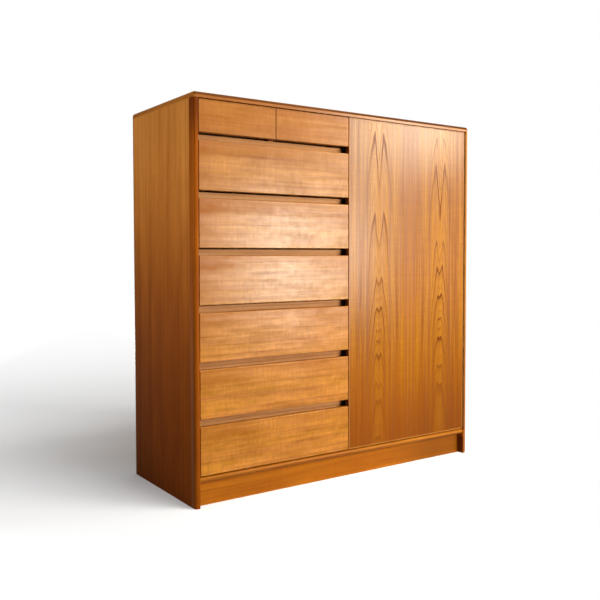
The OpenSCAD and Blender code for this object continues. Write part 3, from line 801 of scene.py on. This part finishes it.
# Shelf pins: from the end in the wall, at minus its depth, over the collar to the tip
low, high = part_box("shelf_pins")
shank, collar, pin_depth, pin_reach, shelf_count = 0.0025, 0.0045, 0.0085, 0.009, 4
pin_profile = [
    (-pin_depth, 0.0), (-pin_depth, 0.0021), (-0.0081, shank), (0.0, shank), (0.0, 0.0042),
    (0.0002, collar), (0.0008, collar), (0.001, 0.0042), (0.00104, shank),
    (0.0078, shank), (0.0085, 0.0022), (0.0089, 0.0013), (pin_reach, 0.0),
]
pins = []
for wall, aim in ((low[X] + pin_depth, 1), (high[X] - pin_depth, -1)):
    profile = [(along * aim, radius) for along, radius in pin_profile]
    pin = turned("shelf_pin", profile, X, segments=24)
    pins.append(repeated(
        pin, rows, brass,
        Start=(wall, low[Y] + collar, low[Z] + collar),
        Step=(0.0, 0.0, (high[Z] - low[Z] - 2 * collar) / (shelf_count - 1)), Count=shelf_count,
        Across=(0.0, high[Y] - low[Y] - 2 * collar, 0.0), Rows=2, Axis=(1.0, 0.0, 0.0), Turn=0.0,
    ))
piece("turned_shelf_pins", pins, "case", "brass", brass, "shelf_pins")

# Panel pins round the back sheet, and up the middle of it into the partition
low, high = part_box("back_sheet")
nail_inset, nail_spacing, partition_steps, partition_x = 0.003, 0.11, 8, 0.004
wire, nail_head, nail_length = 0.0006, 0.0016, 0.014
nail = turned("panel_pin", [
    (-nail_length, 0.0), (-0.0125, wire), (0.0, wire), (0.0, 0.0014),
    (0.0002, nail_head), (0.0004, 0.0012), (0.0005, 0.0),
], Y, segments=12)
straight = {"Axis": (0.0, 1.0, 0.0), "Turn": 0.0}
nails = [
    repeated(
        nail, ring, steel,
        Centre=((low[X] + high[X]) / 2, high[Y], (low[Z] + high[Z]) / 2),
        Width=high[X] - low[X] - 2 * nail_inset, Height=high[Z] - low[Z] - 2 * nail_inset,
        Spacing=nail_spacing, **straight,
    ),
    repeated(
        nail, rows, steel,
        Start=(partition_x, high[Y], low[Z] + nail_spacing),
        Step=(0.0, 0.0, (high[Z] - low[Z] - 2 * nail_spacing) / partition_steps),
        Count=partition_steps + 1, **one_row, **straight,
    ),
]
piece("back_sheet_pins", nails, "case", "steel", steel)


# Stage, light and camera

WHITE = (1.0, 1.0, 1.0)
# The side of the square picture, in pixels
PICTURE_SIDE = 600


def studio_floor():
    """A white floor that keeps the shadow near the chest and turns plain white further out."""
    # Half of the floor's side, in metres
    half = 14.0
    # The camera's line of sight on the floor, as a unit vector
    sight_x, sight_y = 0.568, 0.823
    # The distance from the chest's middle at which the shadow starts to fade, in metres
    shadow_reach = 1.08
    lit, looked_at = tone(150, 150, 150), (0.97, 0.97, 0.97)
    mesh = bpy.data.meshes.new("floor")
    corners = [(-half, -half, 0), (half, -half, 0), (half, half, 0), (-half, half, 0)]
    mesh.from_pydata(corners, [], [(0, 1, 2, 3)])
    floor = bpy.data.objects.new("floor", mesh)
    bpy.context.scene.collection.objects.link(floor)
    finish = Finish("studio_floor")
    x, y, _ = finish.place()
    camera, glossy, through = finish.rays()
    seen = (camera + glossy + through).least(1.0)
    matte = {"Color": finish.mix(seen, lit, looked_at)}
    matte = finish.node("ShaderNodeBsdfDiffuse", None, matte)
    white = finish.node("ShaderNodeEmission", None, {"Color": WHITE, "Strength": 1.0})

    # How far the floor hides its shadows under plain white: wholly far away, before the chest
    # and to its right, and by a veil over the shadow that thins towards the chest
    beyond = (shadow_reach - (x * x + y * y) ** 0.5).least(0.0)
    fade = finish.node("ShaderNodeMath", {"operation": "EXPONENT"}, {0: beyond})
    depth, aside = x * sight_x + y * sight_y, y * sight_x - x * sight_y
    veil = aside * 0.6 + depth.step(-0.75, 0.15, 0.12, -0.37)
    hidden = (1.0 - fade).most(veil).most(depth.step(-0.78, -0.45, 1.0, 0.0)).least(1.0)
    hidden = hidden.most(x.step(0.55, 1.1)).most(y.step(-0.75, -0.35, 1.0, 0.0))
    shader = finish.node("ShaderNodeMixShader", None, {0: hidden * seen, 1: matte, 2: white})
    finish.node("ShaderNodeOutputMaterial", None, {"Surface": shader})
    mesh.materials.append(finish.material)


def studio_world():
    """White to the camera and to reflections in front; dim as a light, and behind on the left."""
    world = bpy.data.worlds.new("studio")
    bpy.context.scene.world = world
    world.use_nodes = True
    sky = Graph(world.node_tree)
    camera, glossy, through = sky.rays()
    x, y, z = sky.split(sky.node("ShaderNodeTexCoord", out="Generated"))
    seen = (camera + through + glossy * (x - y).step(-1.0, 0.2)).least(1.0)
    level = z.step(-0.1, 0.9, 0.03, 0.28) + x.step(-0.4, 1.0, 0.0, 0.25)
    strength = level * (1.0 - seen) + seen
    back = sky.node("ShaderNodeBackground", None, {"Color": WHITE, "Strength": strength})
    sky.node("ShaderNodeOutputWorld", None, {"Surface": back})


def soft_light(name, place, target, size, power, colour, spread=180):
    """A rectangular lamp that the camera doesn't see, in metres, watts and degrees of spread."""
    lamp = bpy.data.lights.new(name, "AREA")
    lamp.shape = "RECTANGLE"
    lamp.size, lamp.size_y = size
    lamp.energy = power
    lamp.color = colour
    lamp.spread = math.radians(spread)
    holder = bpy.data.objects.new(name, lamp)
    bpy.context.scene.collection.objects.link(holder)
    holder.location = place
    holder.visible_camera = False
    holder.rotation_euler = (Vector(target) - Vector(place)).to_track_quat("-Z", "Y").to_euler()


def photo_camera():
    """The camera that the edges in the photograph solve to."""
    # The focal length and the row of the optical centre in pixels, turns in radians, and metres
    focal, centre_row = 756.49, 285.22
    yaw, pitch, roll = 0.6044, 0.0404, -0.0011
    eye = (-1.62373, -2.29362, 0.77868)
    lens = bpy.data.cameras.new("camera")
    lens.sensor_fit = "HORIZONTAL"
    lens.sensor_width = 36.0
    lens.lens = lens.sensor_width * focal / PICTURE_SIDE
    lens.shift_y = (centre_row - PICTURE_SIDE / 2) / PICTURE_SIDE
    camera = bpy.data.objects.new("camera", lens)
    bpy.context.scene.collection.objects.link(camera)
    turn = Matrix.Rotation(-yaw, 4, "Z") @ Matrix.Rotation(math.pi / 2 - pitch, 4, "X")
    turn = turn @ Matrix.Rotation(roll, 4, "Z")
    camera.matrix_world = Matrix.Translation(eye) @ turn
    bpy.context.scene.camera = camera


warm, warmer = (1.0, 0.97, 0.82), (1.0, 0.97, 0.8)
studio_floor()
studio_world()
# The two keys stand where the fronts and the door mirror them to the camera as a soft sheen
soft_light(
    "high_key", (2.35, -2.55, 1.85), target=(0.25, -0.23, 1.1),
    size=(0.8, 0.7), power=43, colour=warmer,
)
soft_light(
    "low_key", (1.5, -2.75, 0.78), target=(-0.18, -0.23, 0.75),
    size=(0.7, 0.8), power=54, colour=warm,
)
soft_light(
    "floor_wash", (0.35, -1.25, 3.3), target=(0.35, -1.25, 0.0),
    size=(1.6, 1.0), power=42, colour=WHITE, spread=110,
)
# This one stands low and aims up, so that it lights the left side more than the floor there
soft_light(
    "side_fill", (-1.6, -0.1, 0.98), target=(-0.59, 0.0, 1.24),
    size=(0.6, 0.6), power=3.1, colour=warm, spread=118,
)
soft_light(
    "back_fill", (0.0, 1.9, 0.3), target=(0.0, 0.236, 1.0),
    size=(1.3, 0.4), power=6, colour=warm, spread=60,
)
photo_camera()
bpy.context.scene.view_settings.view_transform = "Standard"
